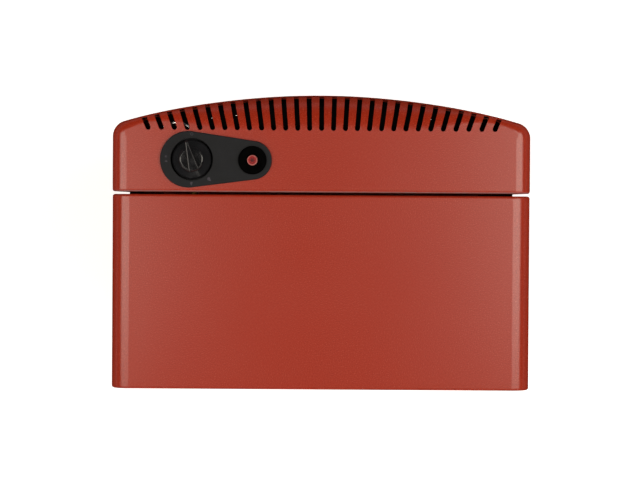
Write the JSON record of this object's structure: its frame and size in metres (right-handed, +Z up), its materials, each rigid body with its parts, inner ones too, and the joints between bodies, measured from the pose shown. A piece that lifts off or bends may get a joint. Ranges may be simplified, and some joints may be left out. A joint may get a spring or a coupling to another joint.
{
  "type": "gas cabinet heater",
  "caption": "Bow-fronted gas cabinet heater on castors with a radiant burner behind a wire guard, a slotted top cover with tap knob and igniter, and a cylinder space behind.",
  "frame": {"origin": "on the floor under the middle of the cabinet", "axes": "+Z up, -Y towards the bow front, +X to the side with the knob"},
  "size_m": [0.424, 0.296, 0.7411],
  "materials": {
    "case_paint": "satin powder coat",
    "galvanised": "dull zinc",
    "dark_sheet": "heat-proof black",
    "bright_sheet": "bright",
    "guard_wire": "plated",
    "ceramic": "dry ceramic",
    "fibre": "fibre",
    "brass": "turned",
    "tube": "drawn",
    "copper": "drawn",
    "grey_plastic": "fine grain",
    "black_plastic": "semi-gloss",
    "red_plastic": "semi-gloss",
    "silicone": "satin",
    "steel": "zinc plated",
    "tread": "smooth"
  },
  "bodies": {
    "cabinet": {"top_cover": "case_paint", "front_shell": "case_paint", "rear_hood": "case_paint", "base_tray": "case_paint", "partition": "galvanised", "burner_brackets": "galvanised", "injector_bar": "galvanised", "tap_bracket": "galvanised", "panel_clips": "galvanised", "burner_frame": "galvanised", "burner_box_left": "galvanised", "burner_box_centre": "galvanised", "burner_box_right": "galvanised", "flue_deflector": "dark_sheet", "reflector": "bright_sheet", "wire_guard": "guard_wire", "plaque_left": "ceramic", "plaque_centre": "ceramic", "plaque_right": "ceramic", "plaque_gaskets": "fibre", "injectors": "brass", "tap_body": "brass", "hose_nozzle": "brass", "tap_nut": "brass", "gas_tube_left": "tube", "gas_tube_centre": "tube", "gas_tube_right": "tube", "thermocouple_lead": "copper", "control_plate": "grey_plastic", "igniter_bezel": "black_plastic", "igniter_body": "black_plastic", "igniter_nut": "black_plastic", "seam_strips": "black_plastic", "ignition_lead": "silicone", "case_screws": "steel", "pilot_burner": "steel", "thermocouple": "steel", "spark_electrode": "steel", "castor_stems": "steel"},
    "tap_plug": {"tap_plug": "brass"},
    "knob": {"control_knob": "black_plastic", "valve_spindle": "steel"},
    "button": {"igniter_button": "red_plastic"},
    "back": {"rear_panel": "case_paint"},
    "castor_front_left": {"castor_hood_front_left": "black_plastic", "castor_axle_front_left": "steel"},
    "wheels_front_left": {"castor_wheels_front_left": "tread"},
    "castor_front_right": {"castor_hood_front_right": "black_plastic", "castor_axle_front_right": "steel"},
    "wheels_front_right": {"castor_wheels_front_right": "tread"},
    "castor_rear_left": {"castor_hood_rear_left": "black_plastic", "castor_axle_rear_left": "steel"},
    "wheels_rear_left": {"castor_wheels_rear_left": "tread"},
    "castor_rear_right": {"castor_hood_rear_right": "black_plastic", "castor_axle_rear_right": "steel"},
    "wheels_rear_right": {"castor_wheels_rear_right": "tread"}
  },
  "joints": [
    {"name": "knob_turn", "type": "hinge", "parent": "cabinet", "child": "tap_plug", "pos_m": [0.1297, -0.082, 0.67], "axis": [0, 0, 1], "range_deg": [-15, 210]},
    {"name": "knob_push", "type": "slide", "parent": "tap_plug", "child": "knob", "axis": [0, 0, -1], "range_m": [0, 0.004], "stiffness_N_per_m": 800, "springref_m": -0.004},
    {"name": "igniter_press", "type": "slide", "parent": "cabinet", "child": "button", "axis": [0, 0, -1], "range_m": [0, 0.005], "stiffness_N_per_m": 1200, "springref_m": -0.004},
    {"name": "back_pull", "type": "slide", "parent": "cabinet", "child": "back", "axis": [0, 1, 0], "range_m": [0, 0.3]},
    {"name": "castor_front_left_swivel", "type": "hinge", "parent": "cabinet", "child": "castor_front_left", "pos_m": [-0.165, -0.085, 0.045], "axis": [0, 0, 1], "continuous": true},
    {"name": "wheels_front_left_roll", "type": "hinge", "parent": "castor_front_left", "child": "wheels_front_left", "pos_m": [-0.165, -0.07, 0.021], "axis": [1, 0, 0], "continuous": true},
    {"name": "castor_front_right_swivel", "type": "hinge", "parent": "cabinet", "child": "castor_front_right", "pos_m": [0.165, -0.085, 0.045], "axis": [0, 0, 1], "continuous": true},
    {"name": "wheels_front_right_roll", "type": "hinge", "parent": "castor_front_right", "child": "wheels_front_right", "pos_m": [0.165, -0.07, 0.021], "axis": [1, 0, 0], "continuous": true},
    {"name": "castor_rear_left_swivel", "type": "hinge", "parent": "cabinet", "child": "castor_rear_left", "pos_m": [-0.165, 0.106, 0.045], "axis": [0, 0, 1], "continuous": true},
    {"name": "wheels_rear_left_roll", "type": "hinge", "parent": "castor_rear_left", "child": "wheels_rear_left", "pos_m": [-0.165, 0.121, 0.021], "axis": [1, 0, 0], "continuous": true},
    {"name": "castor_rear_right_swivel", "type": "hinge", "parent": "cabinet", "child": "castor_rear_right", "pos_m": [0.165, 0.106, 0.045], "axis": [0, 0, 1], "continuous": true},
    {"name": "wheels_rear_right_roll", "type": "hinge", "parent": "castor_rear_right", "child": "wheels_rear_right", "pos_m": [0.165, 0.121, 0.021], "axis": [1, 0, 0], "continuous": true}
  ]
}
